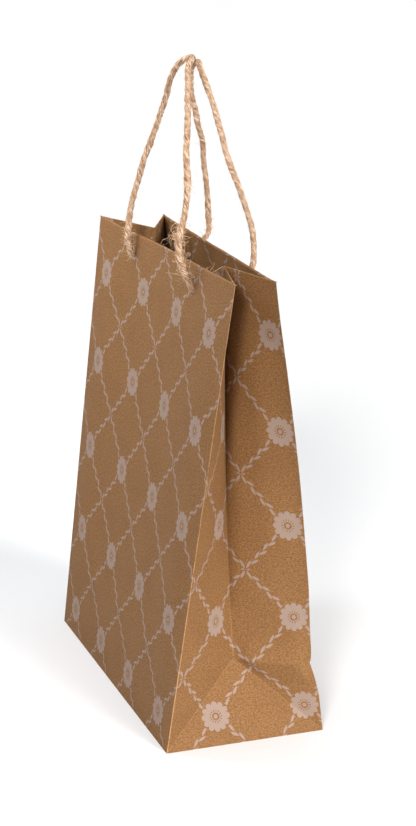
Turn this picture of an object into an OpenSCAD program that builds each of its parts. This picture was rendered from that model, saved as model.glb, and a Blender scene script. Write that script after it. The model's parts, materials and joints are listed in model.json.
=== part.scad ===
// Gusseted paper gift bag with two rope handles.
// Frame: origin at the middle of the flat bottom, +Z up, X across the width,
// -Y at the front wall, +Y at the back wall. Millimetres.

/* [Bag] */
// Width of the front and back walls
body_w = 180; // [150:5:240]
// Depth of the bottom, from front wall to back wall
body_d = 83; // [70:1:100]
// Height of a wall, measured up its slope
wall_h = 233; // [201:2:281]
// Depth of the mouth, narrower than the bottom because the gussets are folded in
mouth_d = 28; // [24:1:40]

/* [Paper] */
// Thickness of the paper
paper_t = 0.3; // [0.2:0.05:0.4]
// Depth of the turned-in hem round the mouth
hem_h = 34; // [26:1:44]
// Width of the glue tab down the side seam
seam_w = 12; // [8:1:20]

/* [Cards] */
// Thickness of the two stiffening cards inside the hem
rim_card_t = 0.8; // [0.4:0.1:1.2]
// Height of the stiffening cards
rim_card_h = 30; // [22:1:40]
// Thickness of the card laid on the bottom
base_card_t = 1; // [0.6:0.1:1.6]

/* [Rope handles] */
// Diameter of the twisted rope
rope_d = 3.2; // [3:0.2:4]
// Distance between the two rope holes in one wall
hole_pitch = 80; // [80:1:80]
// Distance from the top edge down to the rope holes
hole_drop = 13; // [12:1:16]
// Diameter of the knots behind the holes
knot_d = 9; // [8:0.5:9]

/* [Hidden] */
$fn = 48;
gap = 0.2;                                   // clearance round a rope or a fold
half_w = body_w / 2;
half_d = body_d / 2;
lean = asin((half_d - mouth_d / 2) / wall_h); // each wall leans inwards by this
top_z = wall_h * cos(lean);
strip = half_d;                              // width of half a gusset
fold_inset = 1.2;                            // a gusset sheet stops this far from its middle fold
play = 0.1;                                  // air between layers that lie side by side
hole_s = wall_h - hole_drop;                 // holes, measured up the wall's slope
hole_clear_d = rope_d + 2 * gap;
layers_t = 2 * paper_t + rim_card_t;         // wall, card and hem together at the rim
pivot_out = 3.8;                             // a handle swings about this line outside the wall
flap_reach = 57;                             // the two long bottom flaps overlap at the middle
side_flap_reach = 34;

// Half the depth between the walls' outer faces, at height z.
function edge_y(z) = half_d - z * tan(lean);

// How far the gusset's middle crease is pushed in at height z: the paper keeps its width.
function crease_in(z) = sqrt(max(strip * strip - edge_y(z) * edge_y(z), 0));

// The middle crease starts at the foot triangle's tip. The tip leans in until it meets
// the two half gussets, whose fold lines rise from the bottom corners at 45 degrees.
function tip_height(n = 12, z = 0.9 * strip) =
    n == 0 ? z : tip_height(n - 1, sqrt(strip * strip - pow(crease_in(z), 2)));
tip_z = tip_height();
tip_in = crease_in(tip_z);
foot_lean = asin(tip_in / strip);

// A half gusset's two long edges at height z: the wall's corner and the middle crease,
// or below the tip the slanting fold of the foot triangle.
function wall_edge(z) = [half_w, -edge_y(z), z];
function far_edge(z) = z < tip_z
    ? [half_w - tip_in * z / tip_z, -half_d * (1 - z / tip_z), z]
    : [half_w - crease_in(z), 0, z];
function across(z) = (far_edge(z) - wall_edge(z)) / norm(far_edge(z) - wall_edge(z));
function outward(z) = [across(z)[1], -across(z)[0], 0];

// How far from the wall's corner a gusset layer starts, so that it clears the wall's own
// layers: depth is the thickness of what lies between it and the wall's outer face.
function wall_inset(z, depth) = (depth + play) / across(z)[1];

// One ring of a gusset layer at height z, between two offsets from the gusset's surface.
// Its points sit at the given distances from the wall's corner, there and back.
function sheet_row(z, distances, inner, outer) =
    let (a = wall_edge(z), u = across(z), n = outward(z), m = len(distances))
    concat([for (d = distances) a + u * d + n * inner],
        [for (i = [m - 1 : -1 : 0]) a + u * distances[i] + n * outer]);
function sheet_width(z) = norm(far_edge(z) - wall_edge(z)) - fold_inset;

// Rope routes, from pivot to pivot. The two loops stand up and meet over the mouth.
front_route = [[-40, -19.5, 219], [-40, -19.5, 230], [-39.5, -18.5, 242], [-37.5, -16.5, 254],
    [-34.5, -14, 266], [-30, -11, 279], [-25, -8.5, 291], [-19, -6.5, 303], [-12.5, -6, 314],
    [-6.5, -3.5, 322], [0, 1.5, 325], [6.5, -3.5, 322], [12.5, -6, 314], [19, -8, 303],
    [25, -10.5, 291], [30, -12.5, 279], [34.5, -13.5, 266], [37.5, -16, 254],
    [39.5, -19.5, 242], [40, -19, 230], [40, -19.5, 219]];
back_route = [[-40, 19.5, 219], [-39.5, 23.5, 230], [-39, 24.5, 242], [-37.5, 23, 254],
    [-34.5, 20.5, 266], [-30, 17.5, 279], [-25, 13, 291], [-19, 8, 303], [-12.5, 4.5, 312.5],
    [-6.5, 3, 318.5], [0, 3, 321], [6.5, 2.5, 319.5], [12.5, 3.5, 313.5], [19, 5.5, 303],
    [25, 7, 291], [30, 9, 279], [34.5, 13, 266], [37.5, 16.5, 254],
    [39.5, 19, 242], [40, 19.5, 230], [40, 19.5, 219]];

// --- Placing -----------------------------------------------------------------

// Children drawn in a wall's own plane: x across, y up the slope, z out of the bag.
module on_front_wall() {
    translate([0, -half_d, 0]) rotate([90 - lean, 0, 0]) children();
}

module on_back_wall() {
    mirror([0, 1, 0]) on_front_wall() children();
}

module on_left() {
    mirror([1, 0, 0]) children();
}

// --- Walls and their rims ------------------------------------------------------

// One flat layer of a wall from height low to high, with its rope holes.
// depth is how far its outer face lies behind the wall's outer face.
module wall_layer(width, low, high, depth, thick, holes = true) {
    difference() {
        translate([-width / 2, low, -depth - thick]) cube([width, high - low, thick]);
        if (holes) for (side = [-1, 1])
            translate([side * hole_pitch / 2, hole_s, -depth - thick - 1])
                cylinder(d = hole_clear_d, h = thick + 2);
    }
}

module panel() {
    color("#a97c50") wall_layer(body_w, paper_t, wall_h, 0, paper_t);
}

module rim_card() {
    color("#8f8478") wall_layer(body_w - 14, wall_h - 1 - rim_card_h, wall_h - 1, paper_t, rim_card_t);
}

module rim_hem() {
    color("#a97c50") wall_layer(body_w - 14, wall_h - hem_h, wall_h, paper_t + rim_card_t, paper_t);
}

module seam_tab() {
    color("#9c7148") translate([-half_w + 2, 4, -2 * paper_t])
        cube([seam_w, wall_h - hem_h - 6, paper_t]);
}

// --- Gussets -------------------------------------------------------------------

// A closed sheet through rings of m points, the first half of each on the inner side.
// Both sides are split along the same diagonals, so layers that share a surface touch.
module row_sheet(rows) {
    n = len(rows);
    m = len(rows[0]);
    points = [for (row = rows) each row];
    sides = [for (j = [0 : n - 2]) for (k = [0 : m - 1])
        let (a = m * j + k, b = m * j + (k + 1) % m)
            each k < m / 2 ? [[a, a + m, b], [b, a + m, b + m]] : [[a, a + m, b + m], [a, b + m, b]]];
    ends = [[for (k = [0 : m - 1]) k], [for (k = [m - 1 : -1 : 0]) m * (n - 1) + k]];
    polyhedron(points = points, faces = concat(sides, ends));
}

hem_low = top_z - hem_h * cos(lean);
hem_heights = [for (i = [0 : 4]) hem_low + (top_z - hem_low) * i / 4];

// Right-hand half gusset beside the front wall.
module gusset_half() {
    heights = concat([4, 14, 26, tip_z + 0.5, 50, 65, 85, 110, 140, 170], hem_heights);
    color("#a67a4e") row_sheet([for (z = heights)
        sheet_row(z, [wall_inset(z, paper_t), wall_inset(z, 2 * paper_t), sheet_width(z)], 0, paper_t)]);
}

module gusset_half_hem() {
    color("#a67a4e") row_sheet([for (z = hem_heights)
        sheet_row(z, [wall_inset(z, 2 * paper_t), sheet_width(z)], -paper_t, 0)]);
}

// Right-hand foot triangle between the bottom's side edge and the gusset's middle crease.
module gusset_foot() {
    margin = 1.2;
    color("#b58656") translate([half_w, 0, 0]) rotate([0, -foot_lean, 0]) rotate([90, 0, 90])
        translate([0, 0, -paper_t]) linear_extrude(paper_t)
            polygon([[-half_d + 2.4 * margin, margin], [half_d - 2.4 * margin, margin],
                [0, half_d - 1.4 * margin]]);
}

// --- Bottom --------------------------------------------------------------------

module base_card() {
    color("#8f8478") translate([-half_w + 2, -half_d + 2, 3 * paper_t])
        cube([body_w - 4, body_d - 4, base_card_t]);
}

// Long flap folded in from the front edge; level counts layers up from the ground.
module long_flap(level) {
    z = level * paper_t;
    taper = 8;
    color("#a97c50") translate([0, -half_d + 0.5, z]) linear_extrude(paper_t)
        polygon([[-half_w + 0.5, 0], [half_w - 0.5, 0],
            [half_w - taper, flap_reach], [-half_w + taper, flap_reach]]);
}

// Short flap tucked in from the right-hand edge, under the card.
module side_flap() {
    color("#a97c50") translate([half_w - 1, 0, 2 * paper_t]) linear_extrude(paper_t)
        polygon([[0, -half_d + 1.5], [0, half_d - 1.5],
            [-side_flap_reach, half_d - side_flap_reach + 2],
            [-side_flap_reach, -half_d + side_flap_reach - 2]]);
}

// --- Rope ----------------------------------------------------------------------

// A knot behind one hole, with its loose end and the rope that runs out to the pivot.
module knot(side) {
    centre = -layers_t - 0.1 - knot_d / 2;
    out_end = pivot_out - rope_d / 2 - 3 * gap;  // short of the swinging rope
    color("#c49a6c") translate([side * hole_pitch / 2, hole_s, 0]) {
        translate([0, 0, centre]) sphere(d = knot_d);
        translate([0, 0, centre]) cylinder(d = rope_d, h = out_end - centre);
        translate([0, 0, centre]) rotate([-90, 0, 0]) cylinder(d = rope_d, h = hole_drop);
    }
}

// A smooth line through a route's points, with one more point in each span.
function mid_point(p, i) =
    let (a = p[max(i - 1, 0)], b = p[i], c = p[i + 1], d = p[min(i + 2, len(p) - 1)])
    (9 * (b + c) - a - d) / 16;
function smooth(p) = [for (i = [0 : len(p) - 2]) each [p[i], mid_point(p, i)], p[len(p) - 1]];

function direction(p, i) =
    let (a = p[max(i - 1, 0)], b = p[min(i + 1, len(p) - 1)]) (b - a) / norm(b - a);

// One ring of the tube, square to the route there. Every route runs across the bag,
// so the Y axis is never along it.
function ring(p, i, radius, sides) =
    let (t = direction(p, i), u0 = cross([0, 1, 0], t), u = u0 / norm(u0), v = cross(t, u))
    [for (k = [0 : sides - 1]) p[i] + radius * (cos(360 * k / sides) * u + sin(360 * k / sides) * v)];

module tube(route, diameter) {
    sides = 8;
    line = smooth(route);
    n = len(line);
    points = [for (i = [0 : n - 1]) each ring(line, i, diameter / 2, sides)];
    walls = [for (i = [0 : n - 2]) for (k = [0 : sides - 1])
        let (a = i * sides + k, b = i * sides + (k + 1) % sides)
            each [[a, a + sides, b], [b, a + sides, b + sides]]];
    caps = [[for (k = [0 : sides - 1]) k], [for (k = [0 : sides - 1]) n * sides - 1 - k]];
    polyhedron(points = points, faces = concat(walls, caps));
}

module front_handle() {
    color("#c49a6c") tube(front_route, rope_d);
}

module back_handle() {
    color("#c49a6c") tube(back_route, rope_d);
}

// --- Assembly ------------------------------------------------------------------

base_card();
long_flap(1);  // bottom_front_flap
mirror([0, 1, 0]) long_flap(0);  // bottom_back_flap
on_left() side_flap();  // bottom_left_flap
side_flap();  // bottom_right_flap
on_left() gusset_foot();  // left_gusset_foot
gusset_foot();  // right_gusset_foot

on_front_wall() panel();  // front_panel
on_front_wall() rim_card();  // front_card
on_front_wall() rim_hem();  // front_hem
on_left() gusset_half();  // left_gusset_front
gusset_half();  // right_gusset_front
on_left() gusset_half_hem();  // left_gusset_front_hem
gusset_half_hem();  // right_gusset_front_hem
on_front_wall() knot(-1);  // front_left_knot
on_front_wall() knot(1);  // front_right_knot

on_back_wall() panel();  // back_panel
on_back_wall() rim_card();  // back_card
on_back_wall() rim_hem();  // back_hem
mirror([0, 1, 0]) on_left() gusset_half();  // left_gusset_back
mirror([0, 1, 0]) gusset_half();  // right_gusset_back
mirror([0, 1, 0]) on_left() gusset_half_hem();  // left_gusset_back_hem
mirror([0, 1, 0]) gusset_half_hem();  // right_gusset_back_hem
on_back_wall() knot(-1);  // back_left_knot
on_back_wall() knot(1);  // back_right_knot
on_back_wall() seam_tab();  // side_seam_tab

front_handle();
back_handle();
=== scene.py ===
import json
import math
import random

import bmesh
import bpy
import numpy as np
from mathutils import Matrix, Vector, noise


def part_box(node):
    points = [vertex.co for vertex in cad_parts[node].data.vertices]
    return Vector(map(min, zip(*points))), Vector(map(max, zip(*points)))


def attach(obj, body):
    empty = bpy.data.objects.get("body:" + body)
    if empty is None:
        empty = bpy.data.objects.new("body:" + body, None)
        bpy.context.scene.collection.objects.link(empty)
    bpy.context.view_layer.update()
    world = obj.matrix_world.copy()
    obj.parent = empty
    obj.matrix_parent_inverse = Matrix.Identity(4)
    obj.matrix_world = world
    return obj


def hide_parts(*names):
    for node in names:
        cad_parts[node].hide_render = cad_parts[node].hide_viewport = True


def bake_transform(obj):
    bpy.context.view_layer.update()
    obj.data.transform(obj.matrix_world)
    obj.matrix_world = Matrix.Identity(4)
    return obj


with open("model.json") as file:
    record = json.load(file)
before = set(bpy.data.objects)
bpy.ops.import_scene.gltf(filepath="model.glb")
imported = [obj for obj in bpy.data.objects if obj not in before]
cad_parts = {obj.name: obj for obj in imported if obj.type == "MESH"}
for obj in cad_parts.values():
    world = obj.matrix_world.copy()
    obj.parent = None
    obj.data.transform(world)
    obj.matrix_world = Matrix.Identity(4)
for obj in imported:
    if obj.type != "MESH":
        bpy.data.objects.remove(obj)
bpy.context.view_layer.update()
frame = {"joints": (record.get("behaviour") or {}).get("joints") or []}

# ---------------------------------------------------------------------------------------
# Sizes. Everything below works in millimetres in the CAD frame, and meshes are written
# in metres. Front is -Y. A sheet coordinate is a pair (u, v) on the unfolded bag: u runs
# round it from the middle of the front wall, and v up from the bottom fold.
# ---------------------------------------------------------------------------------------
MM = 0.001
joint = {j["name"]: j for j in frame["joints"]}
front_box = [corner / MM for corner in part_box("front_panel")]
HALF_W = front_box[1].x
HALF_D = -joint["front_wall_open"]["pos_m"][1] / MM
TOP_Z = front_box[1].z
STRIP = HALF_D                      # width of half a gusset, flat
PAPER = 0.32
MOUTH_HALF = 14.0                   # the CAD mouth, half its depth
WALL = math.hypot(TOP_Z, HALF_D - MOUTH_HALF)
CARD = 0.75
CARD_HALF_W = 84.0
CARD_H = 30.0
HEM_H = 34.0
FLAP_REACH = 57.0                   # the two long flaps of the bottom overlap
SIDE_FLAP_REACH = 34.0
SEAM_W = 12.0
HOLE_X = 40.0
HOLE_S = 220.0                      # the rope holes, up the slope of a wall
HOLE_R = 2.1
BASE_CREASE = 41.5                  # the fold that lets the bottom fold up flat

# How far each top corner stands from the middle of the bag: a handled bag is a little askew.
TOP_Y = {("front", -1): -18.9, ("front", 1): -9.5, ("back", -1): 17.6, ("back", 1): 10.8}
FACE = {"front": -1, "back": 1}
BODY = {"front": "front_wall", "back": "back_wall"}
SIDE = {"left": -1, "right": 1}

ROPE_D = 3.2
ROPE_ROUTE = {
    "front": [(-40, -19.5, 219), (-40, -19.5, 230), (-39.5, -18.5, 242), (-37.5, -16.5, 254),
              (-34.5, -14, 266), (-30, -11, 279), (-25, -8.5, 291), (-19, -6.5, 303), (-12.5, -6, 314),
              (-6.5, -3.5, 322), (0, 1, 325.3), (6.5, -3.5, 322), (12.5, -6, 314), (19, -8, 303),
              (25, -10.5, 291), (30, -12.5, 279), (34.5, -13.5, 266), (37.5, -16, 254),
              (39.5, -19.5, 242), (40, -19, 230), (40, -19.5, 219)],
    "back": [(-40, 19.5, 219), (-39.5, 24.6, 230), (-39, 24.5, 242), (-37.5, 23, 254),
             (-34.5, 20.5, 266), (-30, 17.5, 279), (-25, 13, 291), (-19, 8, 303), (-12.5, 4.5, 312.5),
             (-6.5, 3, 320), (0, 3.4, 323), (6.5, 2.6, 321), (12.5, 3.5, 313.5), (19, 5.5, 303),
             (25, 7, 291), (30, 9, 279), (34.5, 13, 266), (37.5, 16.5, 254), (39.5, 19, 242),
             (40, 19.5, 230), (40, 19.5, 219)],
}


# ---------------------------------------------------------------------------------------
# Camera
# ---------------------------------------------------------------------------------------
def make_camera(place, azimuth, elevation, roll, lens):
    a, e, r = (math.radians(v) for v in (azimuth, elevation, roll))
    forward = Vector((-math.sin(a) * math.cos(e), math.cos(a) * math.cos(e), -math.sin(e)))
    right = Vector((math.cos(a), math.sin(a), 0))
    up = right.cross(forward)
    right, up = right * math.cos(r) + up * math.sin(r), up * math.cos(r) - right * math.sin(r)
    camera = bpy.data.objects.new("camera", bpy.data.cameras.new("camera"))
    turned = Matrix((right, up, -forward)).transposed().to_4x4()
    camera.matrix_world = Matrix.Translation(Vector(place) * MM) @ turned
    camera.data.lens = lens
    camera.data.sensor_width = 36
    bpy.context.scene.collection.objects.link(camera)
    bpy.context.scene.camera = camera


make_camera((884.0, -318.3, 413.8), 69.55, 16.0, 0.71, 82.6)


# ---------------------------------------------------------------------------------------
# Material nodes
# ---------------------------------------------------------------------------------------
def srgb(r, g, b):
    """A colour given as 0 to 255 in sRGB, as Blender's linear values."""
    def linear(c):
        c /= 255
        return c / 12.92 if c <= 0.04045 else ((c + 0.055) / 1.055) ** 2.4
    return (linear(r), linear(g), linear(b), 1)


class Shader:
    """Builds one material, node by node, from its inputs to its output."""

    def __init__(self, name):
        self.material = bpy.data.materials.new(name)
        self.material.use_nodes = True
        self.tree = self.material.node_tree
        self.tree.nodes.clear()

    def put(self, socket, value):
        if isinstance(value, bpy.types.NodeSocket):
            self.tree.links.new(value, socket)
        elif value is not None:
            socket.default_value = value

    def add(self, kind, inputs=(), **settings):
        node = self.tree.nodes.new(kind)
        for key, value in settings.items():
            setattr(node, key, value)
        for key, value in dict(inputs).items():
            self.put(node.inputs[key], value)
        return node

    def math(self, operation, a, b=None, c=None):
        return self.add("ShaderNodeMath", {0: a, 1: b, 2: c}, operation=operation).outputs[0]

    def plus(self, a, b):
        return self.math("ADD", a, b)

    def minus(self, a, b):
        return self.math("SUBTRACT", a, b)

    def times(self, a, b):
        return self.math("MULTIPLY", a, b)

    def larger(self, a, b):
        return self.math("MAXIMUM", a, b)

    def absolute(self, a):
        return self.math("ABSOLUTE", a)

    def sheet(self):
        """The piece's own flat coordinates, in millimetres."""
        return self.add("ShaderNodeUVMap", uv_map="sheet").outputs[0]

    def step(self, value, low, high):
        """0 below low, 1 above high, and a smooth rise between them."""
        return self.add("ShaderNodeMapRange", {"Value": value, "From Min": low, "From Max": high},
                        interpolation_type="SMOOTHSTEP").outputs[0]

    def noise(self, vector, scale, detail=2.0, roughness=0.5, stretch=None):
        if stretch:
            vector = self.add("ShaderNodeMapping", {"Vector": vector, "Scale": stretch}).outputs[0]
        return self.add("ShaderNodeTexNoise", {"Vector": vector, "Scale": scale, "Detail": detail,
                                               "Roughness": roughness}).outputs[0]

    def mix(self, factor, a, b, blend="MIX"):
        node = self.tree.nodes.new("ShaderNodeMix")
        node.data_type = "RGBA"
        node.blend_type = blend
        for socket, value in zip((node.inputs[0], node.inputs[6], node.inputs[7]), (factor, a, b)):
            self.put(socket, value)
        return node.outputs[2]

    def tint(self, colour, mask, share, other):
        """The colour, with a share of another one where the mask is 1."""
        return self.mix(self.times(mask, share), colour, other)

    def finish(self, colour, roughness, height, bump_mm, specular=0.25):
        bump = self.add("ShaderNodeBump", {"Strength": 1.0, "Distance": bump_mm * MM, "Height": height})
        surface = self.add("ShaderNodeBsdfPrincipled", {
            "Base Color": colour, "Roughness": roughness, "Specular IOR Level": specular,
            "Normal": bump.outputs[0]})
        output = self.tree.nodes.new("ShaderNodeOutputMaterial")
        self.tree.links.new(surface.outputs[0], output.inputs[0])
        return self.material


# The printed lattice: a flower at each crossing of a square grid, joined by leafy vines.
FLOWER_U, FLOWER_V = 23.6, 14.3     # one flower on the sheet
PITCH_U, PITCH_V = 47.1, 47.85
PETALS = 12
PETAL_R, PETAL_RISE = 5.5, 2.0      # from the middle to a notch, and from there to a petal's end
TICKS = 14
EYE_R, TICKS_R = 1.5, 2.8           # the bare ring in a flower, and the bare ticks round it
CLEAR_R = 7.7                       # a vine stops this far from a flower's middle
LEAF_STEP = 6.95                    # along a vine, from one leaf to the next on the same side
LEAVES = ((9.6, 0.62, -12), (13.05, -0.68, 20))    # each side's first leaf: along, aside, slope
LEAF_HALF_W = 0.7
LEAF_POINT = 0.11                   # how fast a leaf narrows towards its ends
PAPER_COLOUR = srgb(136, 96, 58)
PRINT_COLOUR = srgb(158, 140, 132)
# Wear on the folds; on the front right corner it is also a painted highlight.
WORN_AND_HIGHLIGHT_COLOUR = srgb(206, 162, 114)
SHEET_TONE = (0.88, 0.87, 0.84, 1)  # what the whole sheet keeps of the colours below


def print_mask(s, u, v):
    """1 where the sheet is printed, at sheet coordinates in millimetres."""
    pitch = (PITCH_U + PITCH_V) / 2

    def cell(value, first, width):
        turns = s.plus(s.math("DIVIDE", s.minus(value, first), width), 0.5)
        return s.times(s.minus(s.math("FRACT", turns), 0.5), pitch)

    x, y = cell(u, FLOWER_U, PITCH_U), cell(v, FLOWER_V, PITCH_V)
    radius = s.math("SQRT", s.plus(s.times(x, x), s.times(y, y)))
    angle = s.math("ARCTAN2", y, x)
    lobes = s.absolute(s.math("COSINE", s.times(angle, PETALS / 2)))
    edge = s.plus(s.times(s.math("POWER", lobes, 0.5), PETAL_RISE), PETAL_R)
    flower = s.step(s.minus(edge, radius), -0.1, 0.15)
    ring = s.step(s.absolute(s.minus(radius, EYE_R)), 0.55, 0.3)
    spokes = s.step(s.math("COSINE", s.times(angle, TICKS)), 0.1, 0.6)
    band = s.step(s.absolute(s.minus(radius, TICKS_R)), 0.6, 0.35)
    bare = s.larger(ring, s.times(spokes, band))
    flower = s.times(flower, s.minus(1.0, bare))

    def vine(along, across):
        """Pointed leaves laid on alternate sides of one diagonal, like the turns of a twisted cord."""
        run = s.absolute(along)
        aside = s.times(across, s.math("SIGN", along))
        leaves = None
        for first, off, slope in LEAVES:
            p = s.math("WRAP", s.minus(run, first), LEAF_STEP / 2, -LEAF_STEP / 2)
            q = s.minus(aside, off)
            c, w = math.cos(math.radians(slope)), math.sin(math.radians(slope))
            length = s.plus(s.times(p, c), s.times(q, w))
            width = s.absolute(s.minus(s.times(q, c), s.times(p, w)))
            narrower = s.times(s.math("POWER", s.absolute(length), 2.0), LEAF_POINT)
            half = s.minus(LEAF_HALF_W, narrower)
            leaf = s.step(s.minus(half, width), -0.1, 0.12)
            leaves = leaf if leaves is None else s.larger(leaves, leaf)
        return leaves

    diagonal = s.times(s.plus(x, y), math.sqrt(0.5))
    counter = s.times(s.minus(x, y), math.sqrt(0.5))
    vines = s.larger(vine(diagonal, counter), vine(counter, diagonal))
    clear = s.step(radius, CLEAR_R, CLEAR_R + 0.3)
    return s.larger(flower, s.times(vines, clear))


def fold_distance(s, u, folds):
    """Distance on the sheet to the nearest of some vertical folds."""
    nearest = None
    for fold in folds:
        away = s.absolute(s.minus(u, fold))
        nearest = away if nearest is None else s.math("MINIMUM", nearest, away)
    return nearest


def kraft_paper(name, printed):
    """Brown kraft with grain, stray dark fibres and worn folds, printed on one side; the front right
    fold's brightness is partly a painted highlight.
    """
    s = Shader(name)
    sheet = s.sheet()
    split = s.add("ShaderNodeSeparateXYZ", {0: sheet})
    u, v = split.outputs[0], split.outputs[1]

    grain = s.noise(sheet, 1.5, 4.0, 0.9, stretch=(0.7, 1.0, 1.0))
    cloud = s.noise(sheet, 0.045, 3.0, 0.55)
    mottle = s.noise(sheet, 1.0, 4.0, 0.85, stretch=(0.65, 1.0, 1.0))
    colour = s.mix(s.step(grain, 0.4, 0.6), srgb(87, 57, 31), srgb(167, 126, 82))
    colour = s.mix(0.4, colour, PAPER_COLOUR)
    colour = s.tint(colour, s.step(mottle, 0.5, 0.62), 0.62, srgb(104, 69, 39))
    colour = s.tint(colour, s.step(mottle, 0.48, 0.34), 0.34, srgb(164, 122, 78))
    colour = s.tint(colour, s.step(cloud, 0.35, 0.75), 0.2, srgb(108, 73, 43))
    specks = s.noise(sheet, 0.9, 2.0, 0.5)
    colour = s.tint(colour, s.step(specks, 0.68, 0.74), 0.6, srgb(72, 46, 26))
    hairs = s.noise(sheet, 0.55, 2.0, 0.6, stretch=(2.6, 0.5, 1.0))
    colour = s.tint(colour, s.step(hairs, 0.69, 0.74), 0.35, srgb(90, 58, 34))
    if printed:
        ink = s.times(print_mask(s, u, v), s.step(grain, 0.12, 0.42))
        colour = s.tint(colour, ink, 0.8, PRINT_COLOUR)

    # Worn folds: the four upright corners, most of all the front right one, the gussets' middle
    # folds above the foot triangles, the triangles' slanting folds, and the rim. The front right
    # corner's bright line is partly a painted highlight, where its rounded fold catches the light.
    patchy = s.step(s.noise(sheet, 0.35, 3.0), 0.25, 0.5)
    # Partly a painted highlight: the front right corner's rounded fold catching the light, over its wear.
    handled_wear_and_highlight = s.step(fold_distance(s, u, (HALF_W,)), 0.7, 0.2)
    others = s.step(fold_distance(s, u, (-HALF_W, HALF_W + 2 * STRIP, -HALF_W - 2 * STRIP)), 0.6, 0.1)
    wear_and_highlight = s.times(s.plus(handled_wear_and_highlight, s.times(others, 0.25)), patchy)
    middle = fold_distance(s, u, (HALF_W + STRIP, -HALF_W - STRIP))
    above = s.step(v, STRIP, STRIP + 1.5)
    upper = s.times(s.step(middle, 0.5, 0.1), above)
    wear_and_highlight = s.larger(wear_and_highlight, s.times(upper, 0.25))
    slant = s.absolute(s.minus(s.plus(middle, v), STRIP))
    wear_and_highlight = s.larger(wear_and_highlight, s.times(s.step(slant, 0.5, 0.1), 0.14))
    rim = s.absolute(s.minus(v, WALL))
    wear_and_highlight = s.larger(wear_and_highlight, s.times(s.step(rim, 0.8, 0.2), 0.15))
    colour = s.tint(colour, wear_and_highlight, 0.75, WORN_AND_HIGHLIGHT_COLOUR)

    colour = s.mix(1.0, colour, SHEET_TONE, "MULTIPLY")
    ripple = s.noise(sheet, 0.25, 2.0, 0.5)
    height = s.plus(s.times(grain, 0.35), ripple)
    return s.finish(colour, s.plus(s.times(grain, 0.2), 0.68), height, 0.1)


def grey_board(name):
    """Grey-brown recycled board."""
    s = Shader(name)
    sheet = s.sheet()
    grain = s.noise(sheet, 1.7, 4.0, 0.7)
    cloud = s.noise(sheet, 0.06, 3.0)
    colour = s.mix(s.step(grain, 0.3, 0.7), srgb(128, 110, 92), srgb(165, 147, 126))
    colour = s.tint(colour, cloud, 0.3, srgb(120, 96, 74))
    specks = s.step(s.noise(sheet, 0.8, 2.0), 0.68, 0.74)
    colour = s.tint(colour, specks, 0.5, srgb(70, 60, 52))
    return s.finish(colour, s.plus(s.times(grain, 0.15), 0.75), grain, 0.08)


def jute(name):
    """Twisted jute: the sheet coordinates are the angle round the rope and the length along it."""
    s = Shader(name)
    sheet = s.sheet()
    u = s.add("ShaderNodeSeparateXYZ", {0: sheet}).outputs[0]
    fibre = s.noise(sheet, 1.0, 4.0, 0.75, stretch=(6.0, 0.33, 1.0))
    patch = s.noise(sheet, 0.2, 2.0, 0.6, stretch=(2.0, 1.0, 1.0))
    colour = s.mix(s.step(fibre, 0.36, 0.64), srgb(112, 80, 56), srgb(236, 206, 178))
    colour = s.tint(colour, s.step(patch, 0.42, 0.62), 0.5, srgb(148, 106, 72))
    dark = s.noise(sheet, 1.0, 3.0, 0.6, stretch=(3.5, 0.26, 1.0))
    colour = s.tint(colour, s.step(dark, 0.56, 0.66), 0.65, srgb(96, 64, 40))
    # Painted shade: darker colour in the grooves between the strands, in patches along the rope.
    groove = s.absolute(s.minus(s.math("FRACT", u), 0.5))
    groove_shade = s.times(s.step(groove, 0.36, 0.5), s.step(s.noise(sheet, 0.3, 2.0), 0.3, 0.55))
    colour = s.tint(colour, groove_shade, 0.7, srgb(84, 56, 36))
    return s.finish(colour, s.plus(s.times(fibre, 0.2), 0.7), fibre, 0.6, 0.15)


def jute_hair(name):
    """Loose fibres of the rope."""
    s = Shader(name)
    sheet = s.sheet()
    tone = s.noise(sheet, 0.6, 2.0)
    colour = s.mix(s.step(tone, 0.3, 0.7), srgb(172, 132, 96), srgb(240, 208, 174))
    return s.finish(colour, s.plus(s.times(tone, 0.2), 0.5), tone, 0.02, 0.4)


PRINTED = kraft_paper("kraft_printed", True)
PLAIN = kraft_paper("kraft_plain", False)
BOARD = grey_board("grey_board")
JUTE = jute("jute_rope")
HAIR = jute_hair("jute_hair")


# ---------------------------------------------------------------------------------------
# Meshes
# ---------------------------------------------------------------------------------------
def new_mesh(name, points, faces, uv, materials, picks=None):
    """A piece from points in millimetres, faces, and a sheet coordinate for each point."""
    mesh = bpy.data.meshes.new(name)
    mesh.from_pydata((np.asarray(points) * MM).tolist(), [], faces)
    layer = mesh.uv_layers.new(name="sheet")
    corners = np.empty(len(mesh.loops), int)
    mesh.loops.foreach_get("vertex_index", corners)
    layer.data.foreach_set("uv", np.asarray(uv, float)[corners].ravel())
    for material in materials:
        mesh.materials.append(material)
    if picks is not None:
        mesh.polygons.foreach_set("material_index", picks)
    mesh.polygons.foreach_set("use_smooth", [True] * len(mesh.polygons))
    work = bmesh.new()
    work.from_mesh(mesh)
    bmesh.ops.remove_doubles(work, verts=work.verts, dist=1e-6)
    bmesh.ops.dissolve_degenerate(work, edges=work.edges, dist=1e-7)
    work.to_mesh(mesh)
    work.free()
    mesh.set_sharp_from_angle(angle=math.radians(40))
    piece = bpy.data.objects.new(name, mesh)
    bpy.context.scene.collection.objects.link(piece)
    return piece


def unit(vectors):
    length = np.linalg.norm(vectors, axis=-1, keepdims=True)
    return vectors / np.maximum(length, 1e-9)


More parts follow.
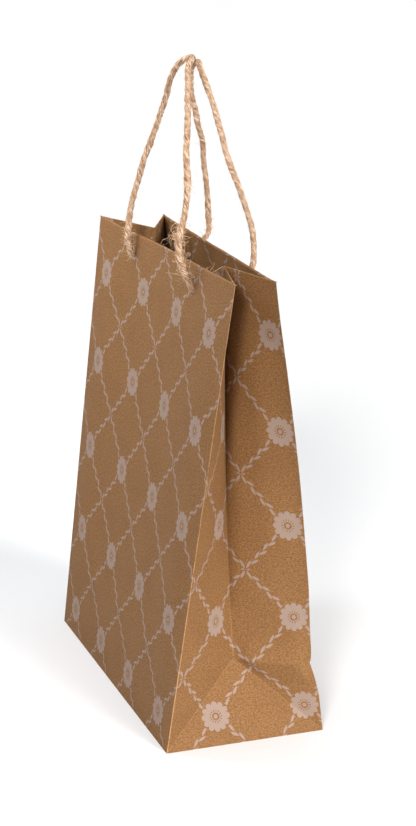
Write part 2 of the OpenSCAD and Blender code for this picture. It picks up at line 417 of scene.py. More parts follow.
def grid_normals(points, outward):
    """Unit normals of a grid of points, on the side that outward points to. A point where the grid
    has no width takes the normal of the row nearer to the middle."""
    normals = np.cross(np.gradient(points, axis=0), np.gradient(points, axis=1))
    size = np.linalg.norm(normals, axis=-1)
    rows = size.shape[0]
    for row in list(range(rows // 2, rows)) + list(range(rows // 2 - 1, -1, -1)):
        inner = row - 1 if row >= rows // 2 else row + 1
        flat = size[row] < 1e-7
        normals[row][flat] = normals[inner][flat]
    normals = unit(normals)
    if np.sum(normals * np.asarray(outward)) < 0:
        normals = -normals
    return normals


def shell(name, points, uv, outward, materials, thick=PAPER, backs=None):
    """A sheet of paper or board: its face is a grid of points, and its thickness lies behind.
    backs gives other directions for the thickness along the first or last column."""
    rows, columns = points.shape[:2]
    behind = -grid_normals(points, outward)
    for column, direction in (backs or {}).items():
        behind[:, column] = direction
    everything = np.concatenate([points.reshape(-1, 3), (points + behind * thick).reshape(-1, 3)])
    count = rows * columns
    index = np.arange(count).reshape(rows, columns)
    quads = np.stack([index[:-1, :-1], index[:-1, 1:], index[1:, 1:], index[1:, :-1]], -1).reshape(-1, 4)
    loop = np.concatenate([index[0, :-1], index[:-1, -1], index[-1, :0:-1], index[:0:-1, 0]])
    ring = np.stack([loop, np.roll(loop, -1)], -1)
    row, column = rows // 2, columns // 2
    a, b, c = points[row, column], points[row, column + 1], points[row + 1, column + 1]
    if np.dot(np.cross(b - a, c - a), behind[row, column]) > 0:
        quads = quads[:, ::-1]
        ring = ring[:, ::-1]
    rims = np.stack([ring[:, 1], ring[:, 0], ring[:, 0] + count, ring[:, 1] + count], -1)
    faces = np.concatenate([quads, quads[:, ::-1] + count, rims]).tolist()
    picks = [0] * len(quads) + [1] * (len(quads) + len(rims))
    flat = uv.reshape(-1, 2)
    return new_mesh(name, everything, faces, np.concatenate([flat, flat]), materials, picks)


def drill(piece, wall):
    """Cuts the two rope holes of a wall through one of its layers."""
    bpy.ops.mesh.primitive_cylinder_add(vertices=40, radius=HOLE_R * MM, depth=14 * MM)
    cutter = bpy.context.object
    for side in (-1, 1):
        spot, inward = wall_spot(wall, side * HOLE_X, HOLE_S)
        turned = Vector(inward).to_track_quat("Z", "Y").to_matrix().to_4x4()
        cutter.matrix_world = Matrix.Translation(Vector(spot) * MM) @ turned
        cut = piece.modifiers.new("hole", "BOOLEAN")
        cut.object = cutter
        cut.operation = "DIFFERENCE"
        cut.solver = "EXACT"
        bpy.context.view_layer.update()
        cut_piece = piece.evaluated_get(bpy.context.evaluated_depsgraph_get())
        shape = bpy.data.meshes.new_from_object(cut_piece)
        piece.modifiers.clear()
        piece.data = shape
    bpy.data.objects.remove(cutter)


# ---------------------------------------------------------------------------------------
# The form of the bag
# ---------------------------------------------------------------------------------------
def lean(wall, x):
    """How far a wall leans in at x, in radians."""
    left, right = (math.atan((HALF_D - abs(TOP_Y[wall, side])) / TOP_Z) for side in (-1, 1))
    return left + (right - left) * (x / HALF_W + 1) / 2


def bump(value, middle, width):
    return np.exp(-((value - middle) / width) ** 2)


def ramp(value, low, high):
    t = np.clip((value - low) / (high - low), 0, 1)
    return t * t * (3 - 2 * t)


def cloud(a, b, size, seed):
    """Smooth unevenness from -1 to 1 over a grid of sheet coordinates."""
    flat = [noise.noise(Vector((x / size, y / size, seed))) for x, y in zip(np.ravel(a), np.ravel(b))]
    return np.array(flat).reshape(np.shape(a))


def wall_swell(wall, x, s):
    """How far a wall's paper stands out of its own plane."""
    seed = 3.7 if wall == "front" else 9.1
    inside = ramp(np.abs(x), HALF_W, HALF_W - 14) * ramp(s, 0, 14)
    out = 0.5 * cloud(x, s, 62, seed) + 0.2 * cloud(x, s, 17, seed + 5)
    fold = 0.9 * np.exp(-np.abs(s - BASE_CREASE) / 7)
    if wall == "front":
        # The front sinks in towards the middle of its rim and stands proud beside its corners.
        out = out - 2.7 * bump(x, -6, 46) * ramp(s, 0, 230)
        out = out + 1.3 * bump(np.abs(x), 68, 17) * ramp(s, 15, 70) * ramp(s, WALL - 2, 200)
    pull = sum(bump(x, side * HOLE_X, 6.5) * bump(s, HOLE_S, 9) for side in (-1, 1))
    return inside * (out + fold) - 0.7 * pull


def wall_grid(wall, x, s, depth=0.0):
    """Points of a wall's layer at a depth behind its face."""
    tilt = lean(wall, x)
    face = FACE[wall]
    out = wall_swell(wall, x, s) - depth
    y = face * (HALF_D - s * np.sin(tilt) + out * np.cos(tilt))
    z = s * np.cos(tilt) + out * np.sin(tilt)
    points = np.stack([x + 0 * s, y, z], -1)
    return points + corner_shift(wall, x, s)


def wall_spot(wall, x, s, depth=0.0):
    """One point of a wall, and the direction into the bag there."""
    tilt = lean(wall, x)
    point = wall_grid(wall, np.array([[float(x)]]), np.array([[float(s)]]), depth)[0, 0]
    return point, np.array([0, -FACE[wall] * math.cos(tilt), -math.sin(tilt)])


def corner_shift(wall, x, s):
    """What handling has done to a wall's upright edges: they are rounded, and one is buckled."""
    x, s = np.broadcast_arrays(x, s)
    shift = np.zeros(x.shape + (3,))
    rounded = ramp(np.abs(x), HALF_W - 0.8, HALF_W)
    shift[..., 0] -= np.sign(x) * rounded * 0.2
    shift[..., 1] -= FACE[wall] * rounded * 0.2
    if wall == "front":
        shift[..., 2] += 0.9 * ramp(x, -50, -HALF_W) * ramp(s, 150, WALL)
    if wall == "back":
        bowed = np.exp(-(HALF_W - x) / 40) * bump(s, 142, 60) * ramp(s, 0, 40) * ramp(s, WALL, 190)
        shift[..., 1] += 1.7 * bowed
        edge = np.exp(-(HALF_W - x) / 9)
        slack = 1.5 * ramp(s, 84, 44) * ramp(s, 18, 34)
        pinch = slack + 1.7 * np.exp(-np.abs(s - 36.5) / 3.2)
        shift[..., 1] -= edge * pinch
        shift[..., 0] -= edge * pinch * 0.5
    return shift


# Rows up a wall or gusset: closer at the folds, then over the rim and down inside.
FLAT_ROWS = np.unique(np.concatenate([
    [0, 0.7, 1.6], np.arange(3, 33, 2), np.arange(33, 50, 1.0), np.arange(50, 230, 2), [230, 231.3]]))
COLUMNS = np.unique(np.concatenate([
    np.arange(-84, 85, 2), [84.8, 86.4, 88, 89.2, 89.6, HALF_W], [-84.8, -86.4, -88, -89.2, -89.6, -HALF_W]]))


def rim_radius(x):
    """Half the thickness of a wall's rim, where card and hem stop before the corners."""
    return (2 * PAPER + CARD * ramp(np.abs(x), CARD_HALF_W + 4, CARD_HALF_W - 1)) / 2 + 0.02


def over_the_rim(flat, radius, turns=6):
    """(slope, depth, v) rows of a sheet that goes up its wall and rolls over the rim."""
    rows = [(np.full_like(radius, s), 0 * radius, np.full_like(radius, s)) for s in flat if s < WALL - 1.1]
    for i in range(turns + 1):
        a = math.pi * i / turns
        middle = WALL - radius
        rows.append((middle + radius * math.sin(a), radius - radius * math.cos(a), middle + radius * a))
    return [np.array(part) for part in zip(*rows)]


def hem_rows(radius):
    """(slope, depth, v) rows of the hem, from the rim's roll down inside the bag."""
    down = np.concatenate([[0, 1], np.arange(3, HEM_H - 1, 2), [HEM_H - 1]])
    start = math.pi * radius
    return (np.array([WALL - radius - d for d in down]), np.array([2 * radius + 0 * d for d in down]),
            np.array([WALL - radius + start + d for d in down]))


def wall_u(wall, x):
    """The sheet coordinate round the bag of a point across a wall."""
    return x if wall == "front" else (2 * HALF_W + 2 * STRIP - x)


CORNER_REACH = 1.25                 # from a corner's outer edge to its inner one, in thicknesses


def corner_back(wall, side, s):
    """Into the bag, half way between a wall's inner side and its gusset's: both use it, so they meet."""
    across = unit(far_point(wall, side, s) - edge_point(wall, side, s))
    inner = unit(np.array([0, -FACE[wall], 0]) - gusset_out(wall, side, across))
    return inner * CORNER_REACH


def make_panel(wall):
    """The wall's own paper, up to the rim and over it."""
    radius = rim_radius(COLUMNS)
    s, depth, v = over_the_rim(FLAT_ROWS, radius)
    x = np.broadcast_to(COLUMNS, s.shape)
    backs = {0: corner_back(wall, -1, s[:, 0]), -1: corner_back(wall, 1, s[:, -1])}
    panel = shell(f"{wall}_panel_paper", wall_grid(wall, x, s, depth), np.stack([wall_u(wall, x), v], -1),
                  (0, FACE[wall], 0.1), (PRINTED, PLAIN), backs=backs)
    drill(panel, wall)
    ride_as(panel, BODY[wall], "kraft_paper", f"{wall}_panel")


def make_hem(wall):
    """The turned-in paper inside the rim. It stops short of the corners."""
    inner = COLUMNS[3:-3]
    s, depth, v = hem_rows(rim_radius(inner))
    x = np.broadcast_to(inner, s.shape)
    hem = shell(f"{wall}_hem_paper", wall_grid(wall, x, s, depth), np.stack([wall_u(wall, x), v], -1),
                (0, -FACE[wall], 0), (PRINTED, PLAIN))
    drill(hem, wall)
    ride_as(hem, BODY[wall], "kraft_paper", f"{wall}_hem")


def make_card(wall):
    """The stiffening card between the wall and its hem."""
    across = np.linspace(-CARD_HALF_W + 1, CARD_HALF_W - 1, 60)
    up = np.linspace(WALL - CARD_H - 1, WALL - 1.2, 14)
    x, s = np.meshgrid(across, up)
    card = shell(f"{wall}_card_board", wall_grid(wall, x, s, PAPER + 0.02), np.stack([x, s], -1),
                 (0, FACE[wall], 0.1), (BOARD, BOARD), thick=CARD - 0.04)
    drill(card, wall)
    ride_as(card, BODY[wall], "grey_board", f"{wall}_card")


def edge_point(wall, side, s):
    """The upright edge of a wall, which its gusset shares."""
    x = np.full_like(np.atleast_1d(s), side * HALF_W, dtype=float)
    return wall_grid(wall, x, np.atleast_1d(s).astype(float), 0.0)


def tip(side):
    """How high the foot triangle's tip stands, and how far it leans in."""
    height, inward = 0.9 * STRIP, 0
    for _ in range(20):
        half = HALF_D - height * math.tan((lean("front", side * HALF_W) + lean("back", side * HALF_W)) / 2)
        inward = math.sqrt(STRIP ** 2 - half ** 2)
        height = math.sqrt(STRIP ** 2 - inward ** 2)
    return height, inward


def far_point(wall, side, s):
    """The other edge of a half gusset: the middle fold, or below it the foot triangle's slanting fold."""
    height, inward = tip(side)
    z = s * np.cos(lean(wall, side * HALF_W))
    front = -(HALF_D - z * math.tan(lean("front", side * HALF_W)))
    back = HALF_D - z * math.tan(lean("back", side * HALF_W))
    tucked = np.sqrt(np.maximum(STRIP ** 2 - ((back - front) / 2) ** 2, 0))
    fold = np.stack([side * (HALF_W - tucked), (front + back) / 2, z], -1)
    share = z / height
    foot = np.stack([side * (HALF_W - inward * share), FACE[wall] * HALF_D * (1 - share), z], -1)
    return np.where((z < height)[..., None], foot, fold)


def gusset_out(wall, side, across):
    """Out of a half gusset's sheet, from the direction across it."""
    flat = np.abs(across)
    return np.stack([side * flat[..., 1], -FACE[wall] * flat[..., 0], 0 * flat[..., 0]], -1)


def far_v(side, z):
    """How far up the sheet the far edge of a half gusset is at height z."""
    height, _ = tip(side)
    rise = (WALL - STRIP) / (TOP_Z - height)
    return np.where(z < height, z * STRIP / height, STRIP + (z - height) * rise)


def gusset_swell(wall, side, t, s):
    """How far a half gusset stands out of its own sheet; t runs from the wall's edge to the middle fold."""
    seed = {("front", -1): 1.3, ("front", 1): 4.9, ("back", -1): 7.7, ("back", 1): 11.2}[wall, side]
    inside = ramp(t, 0, 0.25) * ramp(t, 1, 0.75) * ramp(s, 4, 30)
    out = inside * (0.9 * cloud(t * STRIP, s, 45, seed) + 0.2 * cloud(t * STRIP, s, 14, seed + 3))
    out = out * ramp(s, WALL, 150) + 0.4 * inside * bump(s, 130, 50)
    if wall == "back":
        # The paper comes out of the middle fold steeply and then flattens.
        steep = 2.7 * (1 - np.exp(-(1 - t) / 0.12))
        out = out + steep * ramp(t, 0, 0.55) * ramp(s, 46, 80) * ramp(s, WALL, 190)
    if (wall, side) == ("back", 1):
        # Crushed along the fold of the bottom: the paper rises to a ridge and is tucked in under it.
        ridge = np.where(s > 37, np.exp(-(s - 37) / 13.0), np.clip(1 - (37 - s) / 12, 0, 1))
        out = out + 3.5 * ridge * ramp(t, 1.0, 0.72) * ramp(t, 0.0, 0.2)
    return out


def gusset_grid(wall, side, t, s, depth=0.0):
    edge = edge_point(wall, side, s[:, 0])[:, None]
    far = far_point(wall, side, s[:, 0])[:, None]
    points = edge + (far - edge) * t[..., None]
    outward = gusset_out(wall, side, unit(far - edge))
    return points + outward * (gusset_swell(wall, side, t, s) - depth)[..., None], outward


GUSSET_STEPS = np.concatenate([[0, 0.015, 0.04], np.linspace(0.08, 0.94, 19), [0.975, 0.99, 1]])
GUSSET_RIM = PAPER + 0.03


def gusset_u(wall, side, t, s):
    """The sheet coordinate round the bag at a share t of the way across a half gusset."""
    width = np.minimum(far_v(side, s), STRIP)
    u = HALF_W + t * width if wall == "front" else HALF_W + 2 * STRIP - t * width
    return side * u


def make_gusset(name, side):
    for wall in ("front", "back"):
        radius = np.full_like(GUSSET_STEPS, GUSSET_RIM)
        s, depth, v = over_the_rim(FLAT_ROWS, radius)
        t = np.broadcast_to(GUSSET_STEPS, s.shape)
        points, outward = gusset_grid(wall, side, t, s, depth)
        z = s * np.cos(lean(wall, side * HALF_W))
        height = v + (far_v(side, z) - s) * t
        uv = np.stack([gusset_u(wall, side, t, np.minimum(s, WALL)), height], -1)
        fold_back = np.broadcast_to(np.array([-side, 0, -0.1]) * 1.3, points[:, 0].shape)
        backs = {0: corner_back(wall, side, s[:, 0]), -1: fold_back}
        piece = shell(f"{name}_gusset_{wall}_paper", points, uv, outward[len(points) // 2, 0],
                      (PRINTED, PLAIN), backs=backs)
        blend_as(piece, wall, side, "kraft_paper", f"{name}_gusset_{wall}")

        steps = GUSSET_STEPS[2:-1]
        s, depth, v = hem_rows(np.full_like(steps, GUSSET_RIM))
        t = np.broadcast_to(steps, s.shape)
        points, outward = gusset_grid(wall, side, t, s, depth)
        uv = np.stack([gusset_u(wall, side, t, s), v], -1)
        hem = shell(f"{name}_gusset_{wall}_hem_paper", points, uv, -outward[0, 0], (PRINTED, PLAIN))
        blend_as(hem, wall, side, "kraft_paper", f"{name}_gusset_{wall}_hem")

        make_foot(name, side, wall)


def make_foot(name, side, wall):
    """Half of the triangle between the bottom's side edge and the gusset's two slanting folds."""
    height, inward = tip(side)
    z = FLAT_ROWS * math.cos(lean(wall, side * HALF_W))
    z = np.append(z[z < height], height)
    steps = np.linspace(0, 1, 22)
    share, rows = np.meshgrid(steps, z / height)
    y = FACE[wall] * HALF_D * (1 - rows) * (1 - share)
    x = side * (HALF_W - inward * rows)
    flat_v = rows * STRIP
    swell = 0.5 * np.minimum(ramp(rows, 0, 0.4), ramp(share, 0, 0.5)) * ramp(rows, 1, 0.75) \
        * (0.6 + cloud(y, flat_v, 22, 2.5 + side))
    points = np.stack([x + side * swell, y, rows * height + swell * 0.3], -1)
    points[:, 0] = foot_edge(side, wall, rows[:, 0])
    u = side * (HALF_W + STRIP + y)
    piece = shell(f"{name}_gusset_foot_{wall}_paper", points, np.stack([u, flat_v], -1), (side, 0, 0.4),
                  (PRINTED, PLAIN))
    blend_as(piece, wall, side, "kraft_paper", f"{name}_gusset_foot")


def foot_edge(side, wall, share):
    """The slanting fold, from the bottom's corner to the tip."""
    height, _ = tip(side)
    s = share * height / math.cos(lean(wall, side * HALF_W))
    edge = far_point(wall, side, s)
    edge[0] = edge_point(wall, side, np.array([0.0]))[0]
    return edge


# ---------------------------------------------------------------------------------------
# Fixing pieces to the frame
# ---------------------------------------------------------------------------------------
def ride_as(piece, body, slot, *nodes):
    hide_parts(*nodes)
    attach(piece, body)


def blend_as(piece, wall, side, slot, *nodes):
    """Hides the parts it stands for, and bakes the piece's transform into its mesh."""
    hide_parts(*nodes)
    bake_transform(piece)


# ---------------------------------------------------------------------------------------
# Bottom
# ---------------------------------------------------------------------------------------
def make_long_flap(wall, level):
    share, reach = np.meshgrid(np.linspace(-1, 1, 60), np.linspace(0, FLAP_REACH, 24))
    across = share * (HALF_W - 0.4 - 7.5 * reach / FLAP_REACH)
    y = FACE[wall] * (HALF_D - 0.4 - reach)
    z = level + 0.05 * (1 + cloud(across, y, 20, 6.0)) * ramp(reach, 0, 6)
    flap = shell(f"bottom_{wall}_flap_paper", np.stack([across, y, z], -1),
                 np.stack([wall_u(wall, across), -reach], -1), (0, 0, -1), (PRINTED, PLAIN))
    ride_as(flap, "base", "kraft_paper", f"bottom_{wall}_flap")


def make_side_flap(name, side):
    reach, share = np.meshgrid(np.linspace(0, SIDE_FLAP_REACH, 16), np.linspace(-1, 1, 30), indexing="ij")
    y = share * (HALF_D - 1.5 - reach * 0.94)
    z = 0.68 + 0.02 * reach / SIDE_FLAP_REACH
    flap = shell(f"bottom_{name}_flap_paper", np.stack([side * (HALF_W - 0.8 - reach), y, z], -1),
                 np.stack([side * (HALF_W + STRIP) + y, -reach], -1), (0, 0, -1), (PRINTED, PLAIN),
                 thick=0.25)
    ride_as(flap, "base", "kraft_paper", f"bottom_{name}_flap")


def make_base_card():
    """The loose card on the bottom, with worn corners."""
    grid_x, grid_y = np.meshgrid(np.linspace(-1, 1, 90), np.linspace(-1, 1, 44))
    corner = 1 - 0.012 * np.maximum(np.abs(grid_x), np.abs(grid_y)) ** 30 * np.abs(grid_x * grid_y) ** 6
    points = np.stack([grid_x * (HALF_W - 2) * corner, grid_y * (HALF_D - 2) * corner,
                       2.1 + 0.25 * cloud(grid_x * 88, grid_y * 39, 50, 8.0)], -1)
    card = shell("base_card_board", points, np.stack([points[..., 0], points[..., 1]], -1), (0, 0, 1),
                 (BOARD, BOARD), thick=0.9)
    ride_as(card, "base", "grey_board", "base_card")


def make_seam_tab():
    left = -HALF_W + 2
    x, s = np.meshgrid(np.linspace(left, left + SEAM_W, 8), np.arange(4, WALL - HEM_H - 6, 4))
    points = wall_grid("back", x, s, 2 * PAPER + 0.02)
    tab = shell("side_seam_tab_paper", points, np.stack([wall_u("back", x) + 3, s], -1), (0, -1, 0),
                (PLAIN, PLAIN), thick=PAPER - 0.02)
    ride_as(tab, "back_wall", "kraft_paper", "side_seam_tab")


# ---------------------------------------------------------------------------------------
# Rope
# ---------------------------------------------------------------------------------------
LAY = 15.0                          # length of one turn of the rope's three strands
STRANDS = 3
STRAND_R = 0.58                     # of one strand, where the rope's own radius is 1
STRAND_OFF = 0.42                   # its middle's distance from the rope's middle


def smooth_line(points, spacing):
    """A Catmull-Rom curve through the points, at even steps."""
    p = np.array(points, float)
    p = np.concatenate([[2 * p[0] - p[1]], p, [2 * p[-1] - p[-2]]])
    dense = []
    for a, b, c, d in zip(p[:-3], p[1:-2], p[2:-1], p[3:]):
        for t in np.linspace(0, 1, 24, endpoint=False):
            dense.append(0.5 * (2 * b + (c - a) * t + (2 * a - 5 * b + 4 * c - d) * t ** 2
                                + (3 * b - a - 3 * c + d) * t ** 3))
    dense = np.array(dense + [p[-2]])
    length = np.concatenate([[0], np.cumsum(np.linalg.norm(np.diff(dense, axis=0), axis=1))])
    steps = np.linspace(0, length[-1], max(int(length[-1] / spacing), 2) + 1)
    return np.stack([np.interp(steps, length, dense[:, i]) for i in range(3)], -1), steps


def carried_frames(line):
    """Two directions square to a line at each of its points, carried along without twisting."""
    tangent = unit(np.gradient(line, axis=0))
    side = unit(np.cross(tangent[0], [0.3, 0.2, 1.0] if abs(tangent[0][2]) < 0.9 else [1.0, 0, 0]))
    sides = []
    for t in tangent:
        side = unit(side - t * np.dot(side, t))
        sides.append(side)
    sides = np.array(sides)
    return tangent, sides, np.cross(tangent, sides)


def strand_outline(angle):
    """Distance from the middle to the surface of a rope of radius 1, in the direction of an angle."""
    turn = 2 * math.pi / STRANDS
    off = (angle + turn / 2) % turn - turn / 2
    reach = STRAND_OFF * np.cos(off) + np.sqrt(STRAND_R ** 2 - (STRAND_OFF * np.sin(off)) ** 2)
    return 0.42 + 0.58 * reach      # eased towards a circle


def rope_mesh(name, line, length, diameter, seed, loose=()):
    """Three strands laid round each other, as one skin with grooves, loosely and unevenly twisted.
    loose gives places along it where the rope has opened out."""
    sides = 27
    _, a, b = carried_frames(line)
    k = 2 * math.pi * np.arange(sides) / sides
    twist = -2 * math.pi * length / LAY
    twist = twist + np.array([1.6 * noise.noise(Vector((v / 19, seed, 1))) for v in length])
    swell = np.array([0.98 + 0.16 * noise.noise(Vector((v / 13, seed, 2)))
                      + 0.09 * noise.noise(Vector((v / 3.4, seed, 3))) for v in length])
    for place, spread, amount in loose:
        swell = swell + amount * bump(length, place, spread)
    ends = np.minimum(np.arange(len(line)), np.arange(len(line))[::-1])
    taper = np.minimum(1, (ends + 0.5) / 3) ** 0.5
    radius = 0.5 * diameter * (swell * taper)[:, None] * strand_outline(k)[None, :]
    rough = np.array([[noise.noise(Vector((math.cos(j) * 2, math.sin(j) * 2 + seed, v / 1.6))) for j in k]
                      for v in length])
    radius = radius * (1 + 0.08 * rough)
    angle = (k[None, :] + twist[:, None])[..., None]
    points = line[:, None] + radius[..., None] * (np.cos(angle) * a[:, None] + np.sin(angle) * b[:, None])
    rings = len(line)
    index = np.arange(rings * sides).reshape(rings, sides)
    following = np.roll(index, -1, axis=1)
    quads = np.stack([index[:-1], following[:-1], following[1:], index[1:]], -1).reshape(-1, 4).tolist()
    faces = quads + [index[0, ::-1].tolist(), index[-1].tolist()]
    uv = np.stack([np.broadcast_to(k * STRANDS / (2 * math.pi) + 0.5, (rings, sides)),
                   np.broadcast_to(length[:, None], (rings, sides))], -1)
    return new_mesh(name, points.reshape(-1, 3), faces, uv.reshape(-1, 2), (JUTE,))


def hair_mesh(name, strands):
    """Many loose fibres in one piece: each is (points, thickness)."""
    points, faces, uv = [], [], []
    for line, thick in strands:
        _, a, b = carried_frames(line)
        start = len(points)
        last = len(line) - 1
        for i, spot in enumerate(line):
            r = thick / 2 * (1 - 0.6 * i / last)
            for j in range(3):
                angle = 2 * math.pi * j / 3
                points.append(spot + r * (math.cos(angle) * a[i] + math.sin(angle) * b[i]))
                uv.append((start * 0.37 % 50, i * 0.5))
        for i in range(last):
            for j in range(3):
                p, q = start + 3 * i + j, start + 3 * i + (j + 1) % 3
                faces.append((p, q, q + 3, p + 3))
        faces.append((start + 2, start + 1, start))
        faces.append((start + 3 * last, start + 3 * last + 1, start + 3 * last + 2))
    return new_mesh(name, points, faces, uv, (HAIR,))


def fibre(rng, start, heading, length, curl, steps=7):
    """One loose fibre: it leaves start along heading and wanders."""
    spot, direction = np.array(start, float), unit(np.array(heading, float))
    bend = np.array([rng.gauss(0, 1) for _ in range(3)]) * curl
    line = [spot]
    for _ in range(steps):
        bend = bend * 0.8 + np.array([rng.gauss(0, 0.5) for _ in range(3)]) * curl
        direction = unit(direction + bend)
        spot = spot + direction * length / steps
        line.append(spot)
    return np.array(line)


def rope_hair(rng, line, length, count, places=()):
    """Fibres that stand off a rope all along it, and more of them at some places along it."""
    tangent, a, b = carried_frames(line)
    total = length[-1]
    strands = []
    spots = [(rng.uniform(4, total - 4), 0.8 + 3.6 * rng.random() ** 3, rng.uniform(0.08, 0.16))
             for _ in range(count)]
    for middle, spread, extra, reach, thick in places:
        spots += [(min(max(rng.gauss(middle, spread), 1), total - 1), rng.uniform(0.5, 1) * reach, thick)
                  for _ in range(extra)]
    for place, reach, thick in spots:
        i = int(np.searchsorted(length, place)) % len(line)
        angle = rng.uniform(0, 2 * math.pi)
        out = math.cos(angle) * a[i] + math.sin(angle) * b[i]
        along = tangent[i] * rng.choice((-1, 1)) * rng.uniform(0.6, 2.2)
        swirl = np.cross(tangent[i], out) * rng.uniform(-1, 1)
        strands.append((fibre(rng, line[i] + out * ROPE_D * 0.40, out * 0.7 + along + swirl, reach, 0.28),
                        thick * rng.uniform(0.7, 1.3)))
    return strands


KNOT_DEPTH = 2 * PAPER + CARD + 0.2 + 4.5    # middle of a knot behind the wall's face
KNOT_R = 2.9
# How high a knot's tail stands, and its loose fibres: how many, the shortest, the longest and
# their thickness. Two tails are well frayed.
FRAYED_TAILS = {("back", -1): (13, 40, 7, 20, 0.24), ("front", 1): (8.5, 26, 6, 12, 0.2)}
OTHER_TAIL = (8.5, 22, 2, 5, 0.12)


def knot_line(centre, inward, size, turn):
    """An overhand knot's path, drawn tight: it starts at the wall and ends in a tail that points up."""
    up = np.array([0, 0, 1.0])
    side = unit(np.cross(up, inward))
    up = np.cross(inward, side)
    t = np.linspace(0.55, 2 * math.pi - 0.35, 16)
    x = (np.sin(t) + 2 * np.sin(2 * t)) / 3
    y = (np.cos(t) - 2 * np.cos(2 * t)) / 3
    depth = -1.1 * np.sin(3 * t) / 3
    c, w = math.cos(turn), math.sin(turn)
    spun = np.stack([x * c - y * w, x * w + y * c, depth], -1)
    body = centre + size * (spun[:, :1] * side + spun[:, 1:2] * up + spun[:, 2:] * inward)
    return body, side, up


def make_knot(wall, name, side):
    """The knot behind one hole, with its frayed tail."""
    rng = random.Random(f"{wall} {name} knot")
    hole, inward = wall_spot(wall, side * HOLE_X, HOLE_S)
    centre = hole + inward * KNOT_DEPTH
    body, across, up = knot_line(centre, inward, KNOT_R, 0.6 * side)
    rise, count, low, high, thick = FRAYED_TAILS.get((wall, side), OTHER_TAIL)
    tail = [centre + up * 3.5 + inward * 0.8, centre + up * 7 + inward * 1.0,
            centre + up * rise + inward * 0.6 - across * 0.6]
    line, length = smooth_line(np.concatenate([body, tail]), 0.45)
    piece = rope_mesh(f"{wall}_{name}_knot_rope", line, length, ROPE_D * 0.88, side * 3.3 + len(wall))
    ride_as(piece, BODY[wall], "jute_rope", f"{wall}_{name}_knot")

    strands = rope_hair(rng, line, length, 40)
    for _ in range(count):
        start = tail[-1] + np.array([rng.gauss(0, 0.7) for _ in range(3)]) - up * rng.uniform(0, 3)
        heading = up * rng.uniform(0.2, 1.3) + across * rng.gauss(0, 1.0) + inward * rng.gauss(0.2, 0.6)
        curl = fibre(rng, start, heading, rng.uniform(low, high), 0.75, steps=16)
        strands.append((curl, thick * rng.uniform(0.75, 1.25)))
    hair = hair_mesh(f"{wall}_{name}_knot_hair", strands)
    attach(hair, BODY[wall])


def make_rope(wall):
    rng = random.Random(f"{wall} rope")
    route = [np.array(p, float) for p in ROPE_ROUTE[wall]]
    control = []
    for side in (-1, 1):
        # A rope leaves its hole at a slant. Close to the wall it follows the hole, which is a
        # little askew with its wall.
        hole, inward = wall_spot(wall, side * HOLE_X, HOLE_S)
        ideal = FACE[wall] * (HALF_D - HOLE_S * math.sin(math.atan((HALF_D - MOUTH_HALF) / TOP_Z)))
        leg = [hole + inward * 5.2, hole + inward * 2.6, hole - inward * 0.2 + np.array([0, 0, 0.4]),
               hole - inward * 2.3 + np.array([0, 0, 4.5])]
        for p in (route[1:10] if side < 0 else route[-2:-11:-1]):
            leg.append(p + np.array([0, (hole[1] - ideal) * ramp(p[2], 236, 220), 0]))
        control = control + leg + [route[10]] if side < 0 else control + leg[::-1]
    line, length = smooth_line(control, 0.5)
    wobble = np.stack([[noise.noise(Vector((v / 11, i * 5.1, len(wall)))) for v in length]
                       for i in range(3)], -1)
    line = line + 0.4 * wobble * ramp(np.minimum(length, length[-1] - length), 8, 24)[:, None]
    total = float(length[-1])
    loose = [(20, 6, 0.12), (total - 22, 8, 0.3), (total - 60, 7, 0.15)] if wall == "front" else ()
    rope = rope_mesh(f"{wall}_handle_rope", line, length, ROPE_D, len(wall) * 1.7, loose)
    places = [(10, 2.5, 26, 7, 0.12), (17, 6, 80, 5, 0.12), (total - 10, 2.5, 26, 7, 0.12)]
    if wall == "front":
        places += [(total - 14, 3, 30, 10, 0.14), (total - 26, 9, 120, 5, 0.14), (total - 58, 3, 30, 7, 0.14)]
    hair = hair_mesh(f"{wall}_handle_hair", rope_hair(rng, line, length, 700, places))

    for piece in (rope, hair):
        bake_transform(piece)
    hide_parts(f"{wall}_handle")


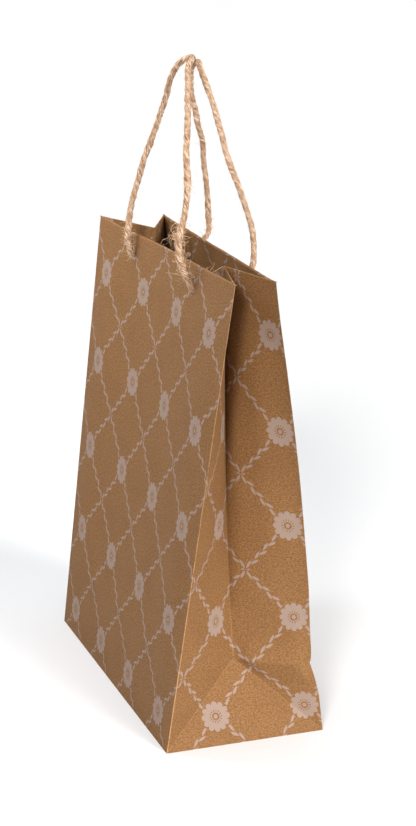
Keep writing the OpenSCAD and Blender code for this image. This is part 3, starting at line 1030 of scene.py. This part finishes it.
# ---------------------------------------------------------------------------------------
# Stage
# ---------------------------------------------------------------------------------------
WARM = (1, 0.97, 0.93)


def area_light(name, place, aim, size, watts):
    light = bpy.data.objects.new(name, bpy.data.lights.new(name, "AREA"))
    light.data.size = size
    light.data.energy = watts
    light.location = place
    light.rotation_euler = (Vector(aim) - Vector(place)).to_track_quat("-Z", "Y").to_euler()
    bpy.context.scene.collection.objects.link(light)


def sun(name, towards, strength, angle, colour=(1, 1, 1)):
    light = bpy.data.objects.new(name, bpy.data.lights.new(name, "SUN"))
    light.data.energy = strength
    light.data.angle = math.radians(angle)
    light.data.color = colour
    light.rotation_euler = Vector(towards).to_track_quat("Z", "Y").to_euler()
    bpy.context.scene.collection.objects.link(light)


def make_stage():
    bpy.ops.mesh.primitive_plane_add(size=40)
    floor = bpy.context.object
    floor.name = "floor"
    s = Shader("pale_floor")
    place = s.add("ShaderNodeTexCoord").outputs["Object"]
    tone = s.noise(place, 3.0, 2.0)
    colour = s.mix(tone, srgb(230, 232, 235), srgb(234, 236, 239))
    floor.data.materials.append(s.finish(colour, 0.9, tone, 0.05))

    world = bpy.data.worlds.new("studio")
    bpy.context.scene.world = world
    world.use_nodes = True
    background = world.node_tree.nodes["Background"]
    background.inputs["Color"].default_value = (1, 1, 1, 1)
    background.inputs["Strength"].default_value = 0.05
    sun("left", (0.77, -0.5, 0.43), 2.3, 12, WARM)
    sun("right", (0.85, 0.38, 0.36), 3.6, 24, WARM)
    sun("top", (0.0, 0.0, 1.0), 1.6, 40)
    area_light("key", (-0.13, -0.19, 0.42), (0, -0.02, 0.24), 0.12, 0.66)
    bpy.context.scene.view_settings.view_transform = "Standard"


make_rope("front")
make_rope("back")
for wall in ("front", "back"):
    for name, side in SIDE.items():
        make_knot(wall, name, side)
    make_panel(wall)
    make_hem(wall)
    make_card(wall)
for name, side in SIDE.items():
    make_gusset(name, side)
for wall, level in (("back", 0.0), ("front", PAPER + 0.02)):
    make_long_flap(wall, level)
for name, side in SIDE.items():
    make_side_flap(name, side)
make_base_card()
make_seam_tab()
make_stage()
